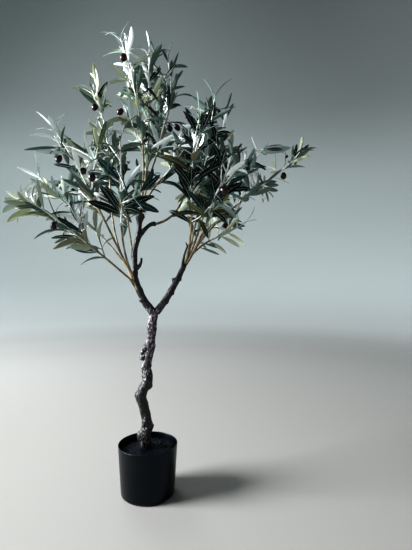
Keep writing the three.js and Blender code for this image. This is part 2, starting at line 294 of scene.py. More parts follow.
def mixed(name, low, high, scale, rough=(0.5, 0.6), detail=5.0, specular=0.5, stretch=(1, 1, 1)):
    """A material whose colour and roughness wander between two values."""
    m = plain(name, low, rough[0], specular)
    nt = m.node_tree
    b = nt.nodes["Principled BSDF"]
    co, mp, tex = (nt.nodes.new(k) for k in ("ShaderNodeTexCoord", "ShaderNodeMapping", "ShaderNodeTexNoise"))
    mp.inputs["Scale"].default_value = stretch
    tex.inputs["Scale"].default_value = scale
    tex.inputs["Detail"].default_value = detail
    ramp = nt.nodes.new("ShaderNodeValToRGB")
    ramp.color_ramp.elements[0].position, ramp.color_ramp.elements[0].color = 0.36, low
    ramp.color_ramp.elements[1].position, ramp.color_ramp.elements[1].color = 0.66, high
    spread = nt.nodes.new("ShaderNodeMapRange")
    spread.inputs["To Min"].default_value, spread.inputs["To Max"].default_value = rough
    nt.links.new(co.outputs["Object"], mp.inputs["Vector"])
    nt.links.new(mp.outputs["Vector"], tex.inputs["Vector"])
    nt.links.new(tex.outputs["Fac"], ramp.inputs["Fac"])
    nt.links.new(ramp.outputs["Color"], b.inputs["Base Color"])
    nt.links.new(tex.outputs["Fac"], spread.inputs["Value"])
    nt.links.new(spread.outputs["Result"], b.inputs["Roughness"])
    return m


def finish_piece(obj, slot, *nodes):
    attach(obj, ROOT)
    if nodes:
        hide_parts(*nodes)
    return obj


def mesh_object(name, verts, faces, materials, smooth=True, face_material=None):
    me = bpy.data.meshes.new(name)
    me.from_pydata(verts, [], faces)
    for m in materials:
        me.materials.append(m)
    if face_material is not None:
        me.polygons.foreach_set("material_index", np.asarray(face_material, np.int32))
    me.polygons.foreach_set("use_smooth", np.full(len(me.polygons), smooth))
    me.update()
    return link(bpy.data.objects.new(name, me))


# ------------------------------------------------------------------ pot

POT_HEIGHT, RIM_R, FOOT_R, EDGE_R, WALL, FLOOR_T = 0.128, 0.076, 0.0685, 0.007, 0.0022, 0.003
FILL_TOP = 0.114


def wall_radius(z):
    return FOOT_R + (RIM_R - FOOT_R) * z / POT_HEIGHT


def lathe(profile, sides):
    verts, faces = [], []
    rings = [p for p in profile if p[0] > 1e-7]
    for r, z in rings:
        for k in range(sides):
            a = 2 * math.pi * k / sides
            verts.append((r * math.cos(a), r * math.sin(a), z))
    for i in range(len(rings) - 1):
        for k in range(sides):
            n = (k + 1) % sides
            faces.append((i * sides + k, i * sides + n, (i + 1) * sides + n, (i + 1) * sides + k))
    if profile[0][0] <= 1e-7:
        verts.append((0, 0, profile[0][1]))
        for k in range(sides):
            faces.append((len(verts) - 1, (k + 1) % sides, k))
    if profile[-1][0] <= 1e-7:
        verts.append((0, 0, profile[-1][1]))
        base = (len(rings) - 1) * sides
        for k in range(sides):
            faces.append((len(verts) - 1, base + k, base + (k + 1) % sides))
    return verts, faces


def pot_profile():
    p = [(0, 0.0012), (0.030, 0.0012), (0.052, 0.0012), (0.0535, 0.0008), (0.0545, 0.0)]
    flat = FOOT_R - EDGE_R
    p.append((flat - 0.002, 0.0))
    for i in range(9):
        w = math.pi / 2 * i / 8
        p.append((flat + math.sin(w) * (EDGE_R + 0.0002), EDGE_R * (1 - math.cos(w))))
    for i in range(1, 15):
        z = EDGE_R + (POT_HEIGHT - 0.0012 - EDGE_R) * i / 14
        p.append((wall_radius(z), z))
    lip = 0.0010
    mid = wall_radius(POT_HEIGHT) - lip
    for i in range(1, 8):
        w = math.pi * i / 8
        p.append((mid + lip * math.cos(w), POT_HEIGHT - lip + lip * math.sin(w)))
    for i in range(1, 8):
        z = POT_HEIGHT - 0.0012 - (POT_HEIGHT - 0.0012 - 0.098) * i / 7
        p.append((wall_radius(z) - 0.0020, z))
    return p


black_plastic = mixed("pot_black", srgb(1, 1, 1), srgb(3, 5, 9), 9.0, (0.24, 0.36), 6.0, 0.38, (1, 1, 2.2))
black_plastic.node_tree.nodes["Principled BSDF"].inputs["Specular Tint"].default_value = (0.7, 0.84, 1.0, 1)
nt = black_plastic.node_tree
_b = nt.nodes["Principled BSDF"]
_co, _wave, _mix = nt.nodes.new("ShaderNodeTexCoord"), nt.nodes.new("ShaderNodeTexNoise"), nt.nodes.new("ShaderNodeTexNoise")
_wave.inputs["Scale"].default_value, _wave.inputs["Detail"].default_value = 900.0, 2.0
_mix.inputs["Scale"].default_value, _mix.inputs["Detail"].default_value = 22.0, 3.0
_add = nt.nodes.new("ShaderNodeMath")
_add.operation = "ADD"
_bump = nt.nodes.new("ShaderNodeBump")
_bump.inputs["Strength"].default_value, _bump.inputs["Distance"].default_value = 0.35, 0.0006
nt.links.new(_co.outputs["Object"], _wave.inputs["Vector"])
nt.links.new(_co.outputs["Object"], _mix.inputs["Vector"])
nt.links.new(_wave.outputs["Fac"], _add.inputs[0])
nt.links.new(_mix.outputs["Fac"], _add.inputs[1])
nt.links.new(_add.outputs["Value"], _bump.inputs["Height"])
nt.links.new(_bump.outputs["Normal"], _b.inputs["Normal"])

_v, _f = lathe(pot_profile(), 144)
pot = mesh_object("pot_moulded", _v, _f, [black_plastic])
finish_piece(pot, "pot", "pot")

# ------------------------------------------------------------------ filling


def filling():
    """The rough top of the filling: a dished disc of lumps, on which crumbs() below lays loose crumbs."""
    rng = random.Random(41)
    reach = wall_radius(FILL_TOP) - 0.0027
    verts, faces = [], []
    rings, sides = 46, 150
    for i in range(rings + 1):
        r = reach * i / rings
        for k in range(sides if i else 1):
            a = 2 * math.pi * k / sides
            x, y = r * math.cos(a), r * math.sin(a)
            z = FILL_TOP - 0.0022 * (i / rings) ** 3
            p = Vector((x * 60, y * 60, 0.3))
            q = Vector((x * 210, y * 210, 1.7))
            s = Vector((x * 520, y * 520, 3.1))
            z += 0.0009 * noise.noise(p) + 0.0010 * (abs(noise.noise(q)) - 0.2) + 0.0009 * noise.noise(s)
            near = math.hypot(x + 0.0055, y)
            z += 0.0052 * math.exp(-((near / 0.027) ** 2))
            verts.append((x, y, z))
    for k in range(sides):
        faces.append((0, 1 + k, 1 + (k + 1) % sides))
    for i in range(1, rings):
        for k in range(sides):
            n = (k + 1) % sides
            a, b = 1 + (i - 1) * sides, 1 + i * sides
            faces.append((a + k, b + k, b + n, a + n))
    base = 1 + (rings - 1) * sides
    low = len(verts)
    for k in range(sides):
        a = 2 * math.pi * k / sides
        verts.append((reach * math.cos(a), reach * math.sin(a), 0.100))
    for k in range(sides):
        n = (k + 1) % sides
        faces.append((base + k, low + k, low + n, base + n))
    verts.append((0, 0, 0.100))
    for k in range(sides):
        faces.append((len(verts) - 1, low + (k + 1) % sides, low + k))
    return verts, faces, rng, reach


coarse_black = mixed("filling_black", srgb(3, 6, 12), srgb(10, 16, 27), 160.0, (0.45, 0.8), 6.0, 0.15)
noise_bump(coarse_black, 700.0, 0.6, 0.0008, 5.0)
coarse_black.node_tree.nodes["Principled BSDF"].inputs["Specular Tint"].default_value = (0.6, 0.8, 1.0, 1)
_v, _f, _rng, _reach = filling()
fill = mesh_object("filling_top", _v, _f, [coarse_black])
finish_piece(fill, "filling", "pot_filling")


def crumbs(count, seed):
    """Small lumps that lie on the filling."""
    rng = random.Random(seed)
    verts, faces = [], []
    ico = bmesh.new()
    bmesh.ops.create_icosphere(ico, subdivisions=1, radius=1.0)
    base_v = [tuple(v.co) for v in ico.verts]
    base_f = [tuple(v.index for v in f.verts) for f in ico.faces]
    ico.free()
    for _ in range(count):
        r, a = _reach * 0.97 * math.sqrt(rng.random()), rng.uniform(0, 2 * math.pi)
        x, y = r * math.cos(a), r * math.sin(a)
        if math.hypot(x + 0.0055, y) < 0.017:
            continue
        s = rng.choice((0.0007, 0.0009, 0.0012, 0.0016)) * rng.uniform(0.8, 1.3)
        z = FILL_TOP - 0.0022 * (r / _reach) ** 3 + 0.0052 * math.exp(-((math.hypot(x + 0.0055, y) / 0.027) ** 2))
        z += 0.0016 * noise.noise(Vector((x * 60, y * 60, 0.3)))
        sx, sy, sz = (s * rng.uniform(0.7, 1.4) for _ in range(3))
        w = rng.uniform(0, 6.28)
        n0 = len(verts)
        for bx, by, bz in base_v:
            k = 1 + 0.25 * rng.uniform(-1, 1)
            px, py, pz = bx * sx * k, by * sy * k, bz * sz * k * 0.8
            verts.append((x + px * math.cos(w) - py * math.sin(w), y + px * math.sin(w) + py * math.cos(w), z + pz + s * 0.25))
        faces += [tuple(n0 + i for i in f) for f in base_f]
    return verts, faces


_v, _f = crumbs(900, 77)
crumb_black = mixed("crumb_black", srgb(4, 7, 12), srgb(24, 31, 39), 320.0, (0.4, 0.8), 4.0, 0.25)
noise_bump(crumb_black, 900.0, 0.4, 0.0006, 4.0)
bits = mesh_object("filling_crumbs", _v, _f, [crumb_black], smooth=False)
finish_piece(bits, "filling")

# ------------------------------------------------------------------ moulded bark

FOOT_Z = 0.115
FORK = (17.4, -2.5, 473.6)
# share of the height, x, y and diameter in mm
TRUNK_SWINGS = [
    (0.0, -4.8, 0, 26), (0.04, -6.5, 0, 29), (0.09, -8.0, 1, 31), (0.15, -2.5, 4, 28.5), (0.245, -6.8, 2.5, 24.5),
    (0.36, -15.4, -4, 27), (0.42, -12.5, -7, 26.5), (0.495, 0.0, -5, 26.0), (0.585, -3.6, 2, 23.0), (0.69, 2.2, 5, 24.5),
    (0.81, 8.6, 2, 22.5), (0.92, 12.4, -1, 22.5), (1.0, FORK[0], FORK[1], 23),
]
# knots: share of the length, compass side (90 is right), height, spread below and above in mm, sharpness round the limb
TRUNK_KNOTS = [
    (0.095, 268, 6.0, 17, 3.0, 1.2), (0.02, 150, 2.0, 9, 9, 2), (0.158, 92, 4.0, 6, 4, 2.5), (0.13, 200, 2.0, 6, 3, 2.5),
    (0.265, 285, 1.8, 9, 6, 2), (0.392, 268, 4.6, 11, 3.0, 2.5), (0.355, 85, -2.4, 9, 9, 2), (0.471, 92, 4.6, 6, 5, 3),
    (0.50, 200, 2.0, 6, 3, 3), (0.53, 250, 1.8, 9, 5, 2), (0.585, 262, 2.6, 8, 4, 3), (0.60, 110, 2.0, 7, 5, 3),
    (0.70, 262, 2.4, 6, 4, 3), (0.735, 92, 2.2, 6, 9, 3), (0.78, 262, 1.8, 9, 4, 2), (0.86, 95, 1.6, 8, 5, 2),
    (0.43, 185, 2.6, 8, 4, 3), (0.20, 190, 2.0, 10, 4, 2), (0.93, 200, 1.8, 8, 4, 2), (0.88, 268, 1.8, 8, 4, 2),
    (0.32, 20, 3.0, 9, 4, 2), (0.66, 10, 2.6, 7, 4, 3), (0.82, 340, 2.2, 7, 4, 3), (0.48, 330, 2.4, 7, 4, 3),
]
LIMBS = {
    "bough_left": ((12.5, -4, 468), (-25.2, -18.8, 540.5), (-3.2, -1.5, -2.5), 20, 15.5, [(0.5, 250, 4.2, 5, 4, 3), (0.78, 80, 1.6, 6, 5, 3), (0.2, 100, 1.6, 7, 5, 2), (0.3, 255, 1.6, 4, 6, 2)]),
    "bough_right": ((22.0, -2, 466), (94.6, 15.5, 592.5), (3.2, 0, -4.5), 19, 13, [(0.66, 285, 7.5, 6, 4.5, 3), (0.70, 112, 3.8, 2.5, 8, 3), (0.42, 112, 3.6, 2.5, 8, 3), (0.24, 112, 2.8, 2.5, 8, 3), (0.47, 290, 2.2, 5, 4, 3), (0.9, 130, 1.8, 3, 6, 3), (0.55, 20, 2.0, 5, 5, 3)]),
    # short broken stubs
    "stub_leader": ((-31, -15, 577), (-14.6, -14, 607), (4.6, 0, -3.0), 12, 5.2, []),
    "stub_right": ((89, 12, 584), (102.5, 7, 640), (-2.5, 0, 0), 8, 4.2, []),
    "stub_right_tip": ((102.5, 7, 636), (98.0, 5, 649), (0, 0, 0), 4.6, 2.4, []),
    "stub_upper": ((5, 2, 379), (-14.0, -1, 367), (0, 0, 3.0), 21, 13, []),
    "stub_hook": ((-9, 0, 368), (-16.5, -1, 356), (-2.0, 0, 1.0), 10, 6, []),
    "stub_elbow": ((-13, -5, 243), (-25.0, -5.5, 259), (0, 0, 0), 14, 8, []),
    "stub_lower": ((0, 2, 353), (-20.0, -2, 345), (0, 0, 3.0), 17, 10, []),
}
# limbs that swing more than once: stations with x, y, z and diameter in mm, then the knots
SWUNG_LIMBS = {
    "leader": (
        [(-24.8, -17.5, 536, 15.5), (-30.4, -17, 561, 13.6), (-31.2, -15, 578, 13.4), (-32, -12, 596, 13.4), (-33.5, -8, 614, 14.6), (-31.6, -4, 633, 13),
         (-27.5, 0, 652, 13.4), (-25.4, 3, 665, 14.5), (-23.8, 5, 677, 12.6), (-23.2, 6.3, 687, 11.4), (-23.4, 8, 699, 14.4), (-22.4, 9, 709, 19.5), (-20.8, 9.8, 718, 21), (-20, 10.2, 724, 16)],
        [(0.17, 95, 1.6, 6, 5, 3), (0.41, 270, 1.6, 8, 7, 3), (0.62, 255, 1.4, 6, 5, 3), (0.93, 250, 2.0, 3, 3, 3), (0.95, 60, 1.6, 4, 4, 3), (0.3, 10, 1.8, 6, 5, 3)],
    ),
    "side_branch": (
        [(-25, 3.4, 661, 13), (-19.5, 5.5, 670, 13), (-12.5, 8, 678.5, 12), (-4, 11, 688, 10), (4, 14, 695, 9.6), (11, 16, 697.6, 11.4), (16.5, 16.2, 697.6, 11.6), (18.5, 16.2, 697.8, 9)],
        [(0.6, 0, 2.0, 5, 4, 3), (0.35, 180, 1.8, 4, 4, 3), (0.9, 135, 2.0, 3, 3, 3)],
    ),
}


def catmull(points, per):
    """Even points on a smooth line through the given ones."""
    pts = [np.array(p, float) for p in points]
    pts = [2 * pts[0] - pts[1]] + pts + [2 * pts[-1] - pts[-2]]
    out = []
    for i in range(1, len(pts) - 2):
        p0, p1, p2, p3 = pts[i - 1 : i + 3]
        for k in range(per):
            t = k / per
            out.append(0.5 * (2 * p1 + (p2 - p0) * t + (2 * p0 - 5 * p1 + 4 * p2 - p3) * t * t + (3 * p1 - p0 - 3 * p2 + p3) * t ** 3))
    out.append(pts[-2])
    return np.array(out)


def resample(line, step):
    seg = np.r_[0, np.cumsum(np.linalg.norm(np.diff(line, axis=0), axis=1))]
    n = max(3, int(round(seg[-1] / step)))
    s = np.linspace(0, seg[-1], n + 1)
    return np.stack([np.interp(s, seg, line[:, k]) for k in range(line.shape[1])], 1), seg[-1]


def bark_tube(line, diameters, knots, seed, step=1.6, sides=44, relief=1.0, flat_foot=False):
    """A closed tube in mm with ridges that wind along it, cracks across it and knots."""
    full = np.c_[line, diameters]
    pts, total = resample(full, step)
    c, dia = pts[:, :3], pts[:, 3]
    n = len(c)
    tan = np.gradient(c, axis=0)
    tan /= np.linalg.norm(tan, axis=1)[:, None]
    verts = []
    up = np.array([0, 1.0, 0])
    for i in range(n):
        d = np.array([0, 0, 1.0]) if flat_foot and i == 0 else tan[i]
        side = np.cross(up, d)
        side /= np.linalg.norm(side)
        front = np.cross(d, side)
        t = i / (n - 1)
        s = t * total
        for k in range(sides):
            w = 2 * math.pi * k / sides
            r = dia[i] / 2
            lump = noise.noise(Vector((math.cos(w) * 1.3, math.sin(w) * 1.3, s / 22 + seed)))
            wind = w + 1.8 * noise.noise(Vector((0.4, seed, s / 60)))
            ridge = 1 - 2.2 * abs(noise.noise(Vector((math.cos(wind) * 2.3, math.sin(wind) * 2.3, s / 24 + seed * 2))))
            ledge = noise.noise(Vector((math.cos(wind) * 1.6, math.sin(wind) * 1.6, s / 9 + seed * 3)))
            r += relief * (0.10 * dia[i] / 2 * lump + 0.55 * ridge + 0.9 * ledge)
            compass = 90 - math.degrees(w)
            for at, side_deg, height, below, above, power in knots:
                q = math.cos(math.radians(compass - side_deg))
                if q > 0:
                    gap = (t - at) * total
                    r += height * math.exp(-((gap / (below if gap < 0 else above)) ** 2)) * q ** (power + 1.0)
            verts.append((c[i] + side * math.cos(w) * r + front * math.sin(w) * r) / 1000)
    faces = []
    for i in range(n - 1):
        for k in range(sides):
            m = (k + 1) % sides
            faces.append((i * sides + k, i * sides + m, (i + 1) * sides + m, (i + 1) * sides + k))
    faces.append(tuple(range(sides))[::-1])
    faces.append(tuple((n - 1) * sides + k for k in range(sides)))
    return [tuple(v) for v in verts], faces


def chips(x, y, z, wide, tall, seed):
    """Height of flaky bark, 0 to 1: cells that each stand at their own height, with cracks between them."""
    wob = noise.noise(Vector((x / (wide * 2.2), y / (wide * 2.2), z / (tall * 2.2) + seed)))
    near, at = noise.voronoi(Vector((x / wide + 0.7 * wob, y / wide - 0.7 * wob, z / tall + 0.5 * wob + seed)))
    own = noise.cell(Vector((at[0][0] * 7.3, at[0][1] * 7.3, at[0][2] * 7.3)))
    return own * 0.62 + min(1.0, (near[1] - near[0]) * 3.2) * 0.38


def build_bark():
    verts, faces = [], []

    def put(part):
        n0 = len(verts)
        verts.extend(part[0])
        faces.extend([tuple(n0 + i for i in f) for f in part[1]])

    height = FORK[2] - FOOT_Z * 1000
    stations = [(x, y, FOOT_Z * 1000 + t * height, d) for t, x, y, d in TRUNK_SWINGS]
    line = catmull(stations, 12)
    put(bark_tube(line[:, :3], line[:, 3], TRUNK_KNOTS, 3.3, flat_foot=True))
    for number, (name, (a, b, bow, d0, d1, knots)) in enumerate(LIMBS.items()):
        a, b, bow = (np.array(x, float) for x in (a, b, bow))
        rows = []
        for i in range(25):
            t = i / 24
            rows.append(np.r_[a + (b - a) * t + bow * 4 * t * (1 - t), d0 + (d1 - d0) * t])
        rows = np.array(rows)
        stub = "stub" in name
        put(bark_tube(rows[:, :3], rows[:, 3], knots, 11.7 + 5.1 * number, step=1.3, sides=20 if stub else 32, relief=0.3 if stub else 0.7))
    for number, (stations, knots) in enumerate(SWUNG_LIMBS.values()):
        line = catmull(stations, 6)
        put(bark_tube(line[:, :3], line[:, 3], knots, 31.7 + 5.1 * number, step=1.3, sides=32, relief=0.6))
    o = mesh_object("moulded_bark", verts, faces, [], smooth=True)
    bm = bmesh.new()
    bm.from_mesh(o.data)
    bmesh.ops.recalc_face_normals(bm, faces=bm.faces)
    bm.to_mesh(o.data)
    bm.free()
    mod = o.modifiers.new("join", "REMESH")
    mod.mode, mod.voxel_size, mod.use_smooth_shade = "VOXEL", 0.00094, True
    C.view_layer.objects.active = o
    o.select_set(True)
    bpy.ops.object.modifier_apply(modifier="join")
    # flakes of bark on top of the winding ridges, and a flat foot
    me = o.data
    n = len(me.vertices)
    co, no = np.empty(n * 3), np.empty(n * 3)
    me.vertices.foreach_get("co", co)
    me.vertices.foreach_get("normal", no)
    co, no = co.reshape(-1, 3), no.reshape(-1, 3)
    relief = np.empty(n, np.float32)
    for i in range(n):
        x, y, z = co[i] * 1000
        thin = 1.0 if z < 478 else 0.62
        h = 0.72 * chips(x, y, z, 3.6, 5.6, 4.0) + 0.28 * chips(x + 31, y, z, 1.9, 2.8, 9.0)
        g = noise.noise(Vector((x / 1.5, y / 1.5, z / 2.4)))
        # painted light: the bark's colour is made palest on the upper trunk, standing for the stronger light that falls
        # there, and darker down by the pot and on the boughs, where less light falls
        pale = 0.62 + 0.78 * max(0.0, min(1.0, (z - 270) / 90)) * (1.0 if z < 466 else max(0.0, 1 - (z - 466) / 30))
        relief[i] = min(1.0, max(0.0, (h + 0.12 * g) * pale))
        smooth = 1.0 - 0.45 * max(0.0, min(1.0, (z - 290) / 60))
        co[i] += no[i] * thin * smooth * (1.25 * (h - 0.5) + 0.16 * g) / 1000
    co[:, 2] = np.maximum(co[:, 2], FOOT_Z - 0.0012)
    me.vertices.foreach_set("co", co.ravel())
    # the relief attribute that colours the bark: the flake height, so the cracks and low flakes come out dark as
    # painted shade, times the painted light of the upper trunk
    painted_shade_and_light = me.attributes.new("relief", "FLOAT", "POINT")
    painted_shade_and_light.data.foreach_set("value", relief)
    me.update()
    return o


def bark_material():
    m = plain("bark_brown", srgb(80, 70, 71), 0.45, 0.6)
    nt = m.node_tree
    b = nt.nodes["Principled BSDF"]
    att = nt.nodes.new("ShaderNodeAttribute")
    att.attribute_name = "relief"
    # the colour follows the relief attribute: near black in the cracks and low flakes as painted shade, pale on the
    # raised flakes and palest where the painted light of the upper trunk lifts it
    ramp = nt.nodes.new("ShaderNodeValToRGB")
    ramp.color_ramp.elements[0].position, ramp.color_ramp.elements[0].color = 0.12, srgb(19, 16, 18)
    ramp.color_ramp.elements[1].position, ramp.color_ramp.elements[1].color = 0.85, srgb(146, 141, 150)
    mid = ramp.color_ramp.elements.new(0.45)
    mid.color = srgb(64, 58, 62)
    co, tex = nt.nodes.new("ShaderNodeTexCoord"), nt.nodes.new("ShaderNodeTexNoise")
    tex.inputs["Scale"].default_value, tex.inputs["Detail"].default_value = 420.0, 6.0
    rough = nt.nodes.new("ShaderNodeMapRange")
    rough.inputs["To Min"].default_value, rough.inputs["To Max"].default_value = 0.36, 0.6
    bump = nt.nodes.new("ShaderNodeBump")
    bump.inputs["Strength"].default_value, bump.inputs["Distance"].default_value = 0.25, 0.0005
    nt.links.new(att.outputs["Fac"], ramp.inputs["Fac"])
    nt.links.new(ramp.outputs["Color"], b.inputs["Base Color"])
    nt.links.new(co.outputs["Object"], tex.inputs["Vector"])
    nt.links.new(tex.outputs["Fac"], rough.inputs["Value"])
    nt.links.new(rough.outputs["Result"], b.inputs["Roughness"])
    nt.links.new(tex.outputs["Fac"], bump.inputs["Height"])
    nt.links.new(bump.outputs["Normal"], b.inputs["Normal"])
    return m


bark = build_bark()
bark.data.materials.append(bark_material())
finish_piece(bark, "bark", "trunk", "bough_left", "bough_right", "leader_lower", "leader_upper", "side_branch")


# ------------------------------------------------------------------ the growth rule of the crown

ENDS = {"bough_left": (-25.2, -18.8, 540.5), "leader_upper": (-21.2, 10.2, 721), "side_branch": (18, 16.2, 698), "bough_right": (94.6, 15.5, 592.5)}
# stem: the moulded bough it leaves, offset of its foot there and length in mm, headings at foot, middle and tip
# (compass, rise), and the bare share of its length
STEMS = {
    "low_left": ("bough_left", (-2, -5, -1), 310, [(-118, 41), (-117, 38), (-98, 34)], 0.3),
    "left": ("bough_left", (-10, 1, 17), 416, [(-62, 54), (-68, 39), (-76, 44)], 0.46),
    "upper_left": ("bough_left", (-13, -5, 25), 398, [(-117, 61), (-113, 63.5), (-84, 54)], 0.4),
    "tall_left": ("bough_left", (-13, 1, 25), 560, [(-59, 47), (-24, 78), (-76, 59)], 0.48),
    "front_left": ("bough_left", (-8, -7, 17), 334, [(-140, 59), (171, 60), (191, 80)], 0.42),
    "back_left": ("bough_left", (-6, 4, 14), 430, [(-20, 62), (-22, 50), (-40, 62)], 0.46),
    "top": ("leader_upper", (-2, -2, -4), 440, [(80, 80), (-154, 78), (-109, 71)], 0.4),
    "top_middle": ("leader_upper", (-2, 8, 0), 438, [(45, 77), (101, 88), (167, 79)], 0.3),
    "top_right": ("leader_upper", (1, 4, -3), 462, [(36, 81), (48, 71), (-82, 76.5)], 0.36),
    "centre": ("leader_upper", (0, 6, 0), 311, [(26, 71), (57, 48.5), (70, 82)], 0.4),
    "middle_right": ("side_branch", (-2, 0, -1), 273, [(74, 13), (32, 71), (-9, 82)], 0.42),
    "back_middle": ("leader_upper", (-1, 9, -6), 400, [(-10, 70), (12, 58), (0, 72)], 0.42),
    "front_right": ("bough_right", (1, -3.5, 1), 355, [(143, 60.5), (177, 65), (134, 68)], 0.3),
    "tall_right": ("bough_right", (3.6, 2.5, 1), 415, [(119, 72), (144, 74), (141, 77.5)], 0.42),
    "outer_right": ("bough_right", (5, 4.5, 0), 367, [(91, 56), (106, 63.6), (93, 22)], 0.42),
    "far_right": ("bough_right", (5, -1.5, -2), 466, [(79, 65), (72, 38), (77, 47)], 0.46),
    "low_right": ("bough_right", (6.6, 6.5, 5), 269, [(35, 49), (47, 22), (60, 34)], 0.2),
    "back_right": ("bough_right", (5.5, 8.5, 4), 463, [(59, 65), (42, 71), (39, 76)], 0.4),
    "forward_right": ("bough_right", (6.7, -5.5, 1), 296, [(132, 54), (139, 55), (140, 66)], 0.4),
}
LEAF_LENGTH = {"front_left": 0.076, "front_right": 0.076, "top": 0.067, "tall_left": 0.064, "far_right": 0.063, "top_right": 0.064}
TWIG_REACH = 0.1

# The seeds of each stem: its own sprays from foot to tip as (seed, colour), then its side twigs as (seed of the twig,
# of its lower and of its upper leaves, and their two colours).
# SEEDS BEGIN
SEEDS = {
    "low_left": (
        [(29011, "d"), (30351, "b"), (13460, "d"), (25478, "d"), (66208, "o")],
        [(12715, 72791, 97275, "oo"), (2751, 10052, 27808, "td"), (12800, 11218, 25704, "dd"), (81944, 49535, 39181, "yo"), (4638, 28084, 42264, "yt")],
    ),
    "left": (
        [(95049, "p"), (82324, "t"), (33172, "t"), (79877, "t"), (75791, "p")],
        [(20861, 51408, 75910, "db"), (88602, 5699, 33367, "od"), (4051, 99365, 63484, "oy"), (69573, 48943, 61493, "dd"), (44867, 45358, 17680, "dy")],
    ),
    "upper_left": (
        [(74611, "b"), (48057, "d"), (66418, "p"), (8738, "d"), (5018, "t"), (36298, "p")],
        [(86848, 86228, 46339, "dd"), (81182, 7725, 94094, "dy"), (13873, 27978, 92535, "ot"), (96760, 60365, 89457, "dp"), (57894, 13433, 67360, "dd")],
    ),
    "tall_left": (
        [(90692, "d"), (78393, "d"), (6692, "d"), (65718, "o"), (10225, "o"), (50360, "d"), (85385, "y")],
        [(12375, 42428, 32393, "dy"), (60537, 71381, 38772, "do"), (97138, 4431, 52557, "dy"), (91468, 96103, 67403, "oo"), (35904, 59632, 87582, "od"), (83542, 12707, 74047, "yy")],
    ),
    "front_left": (
        [(62945, "d"), (56624, "d"), (57463, "t"), (71508, "d"), (56817, "d")],
        [(96714, 41298, 17328, "dd"), (34785, 35658, 88632, "td"), (20341, 76819, 68909, "dp"), (97416, 12288, 36578, "do")],
    ),
    "back_left": (
        [(12337, "d"), (94817, "d"), (84899, "d"), (12446, "d"), (58295, "d"), (50578, "d")],
        [(82637, 97343, 57262, "db"), (12325, 34942, 82013, "dd"), (93399, 46687, 21092, "dd"), (92451, 66548, 98206, "dp"), (32601, 26950, 85147, "yt")],
    ),
    "top": (
        [(69996, "d"), (70601, "y"), (64294, "d"), (10096, "t"), (16267, "y"), (37567, "p")],
        [(68087, 81453, 53525, "ot"), (26840, 6421, 48434, "dy"), (6418, 79580, 2138, "dp"), (46601, 7353, 32758, "yo"), (24337, 514, 51788, "tp"), (16537, 12770, 3682, "po")],
    ),
    "top_middle": (
        [(54254, "o"), (82827, "p"), (18280, "d"), (53381, "y"), (9141, "p"), (59123, "d"), (17264, "p")],
        [(95800, 89885, 60752, "dt"), (98246, 46809, 37724, "tt"), (19096, 43319, 79578, "dt"), (85441, 39983, 3733, "yo"), (74762, 77738, 66234, "dt"), (79761, 7845, 97277, "dd"), (91016, 50023, 3302, "dd")],
    ),
    "top_right": (
        [(45466, "t"), (45695, "d"), (68482, "d"), (75310, "d"), (46746, "d"), (61277, "d"), (28092, "d")],
        [(7147, 98438, 71224, "td"), (53238, 85376, 17165, "dd"), (73370, 9721, 6910, "dd"), (22725, 97997, 82450, "dd"), (90622, 63419, 85508, "dp"), (31273, 9976, 37267, "td")],
    ),
    "centre": (
        [(22790, "d"), (5615, "p"), (87457, "d"), (2771, "p"), (18994, "t")],
        [(32378, 76733, 47445, "db"), (79330, 43204, 63754, "yp"), (79576, 23714, 48861, "dy"), (32586, 79121, 79170, "tt")],
    ),
    "middle_right": (
        [(54251, "d"), (95465, "d"), (64457, "d"), (12021, "d")],
        [(37169, 1106, 26000, "od"), (4726, 65735, 61510, "dd"), (76721, 75528, 17137, "dd")],
    ),
    "back_middle": (
        [(45447, "d"), (688, "d"), (76558, "d"), (58740, "d"), (70350, "d"), (69618, "d")],
        [(64290, 49293, 94151, "dd"), (20322, 36986, 34640, "db"), (95556, 22104, 95978, "dt"), (78628, 8578, 15664, "yd"), (7680, 72868, 75948, "pd")],
    ),
    "front_right": (
        [(93963, "d"), (7049, "d"), (24098, "d"), (84518, "b"), (25267, "p"), (72836, "d")],
        [(70382, 83171, 17387, "bt"), (91268, 81438, 89331, "dd"), (81370, 3817, 55207, "dp"), (21615, 87643, 53572, "dd"), (25477, 26234, 34707, "dd")],
    ),
    "tall_right": (
        [(6039, "d"), (60443, "d"), (52962, "d"), (24320, "d"), (70698, "d"), (68448, "d")],
        [(85684, 64229, 61282, "ot"), (59686, 11245, 53770, "tp"), (27069, 13450, 36875, "dd"), (80379, 41378, 88549, "pd"), (96046, 4496, 41841, "dt")],
    ),
    "outer_right": (
        [(39542, "t"), (458, "d"), (68976, "t"), (42709, "d"), (50331, "d")],
        [(90178, 72008, 28383, "dt"), (9859, 29440, 74128, "dt"), (563, 69035, 25030, "dp"), (48208, 78148, 12425, "dp"), (91042, 8489, 60292, "pd")],
    ),
    "far_right": (
        [(17142, "d"), (39036, "d"), (38201, "d"), (8167, "y"), (5666, "y"), (62083, "d")],
        [(20402, 33526, 21096, "dt"), (32216, 18697, 23888, "pd"), (3231, 22805, 45307, "dd"), (16348, 82964, 83224, "dd"), (62227, 86813, 96154, "dy")],
    ),
    "low_right": (
        [(98047, "d"), (29137, "o"), (37957, "o"), (9024, "y"), (58421, "d")],
        [(30930, 71328, 3206, "bo"), (37153, 9151, 13483, "dd"), (42343, 98623, 61213, "td"), (72257, 97566, 88499, "dd"), (49809, 85135, 10592, "td")],
    ),
    "back_right": (
        [(43632, "d"), (489, "p"), (49971, "d"), (90700, "d"), (2605, "d"), (17543, "p"), (51887, "d")],
        [(89703, 44361, 65453, "yo"), (90289, 1881, 36812, "td"), (26647, 89184, 10658, "do"), (72793, 42703, 41168, "do"), (96446, 73739, 12299, "tp"), (47692, 25827, 71210, "dp")],
    ),
    "forward_right": (
        [(10292, "y"), (2286, "d"), (64007, "p"), (71746, "d")],
        [(18740, 91767, 32123, "yd"), (44038, 97174, 91466, "pd"), (23273, 87775, 86772, "dd"), (54563, 28257, 43092, "dd")],
    ),
}
# SEEDS END


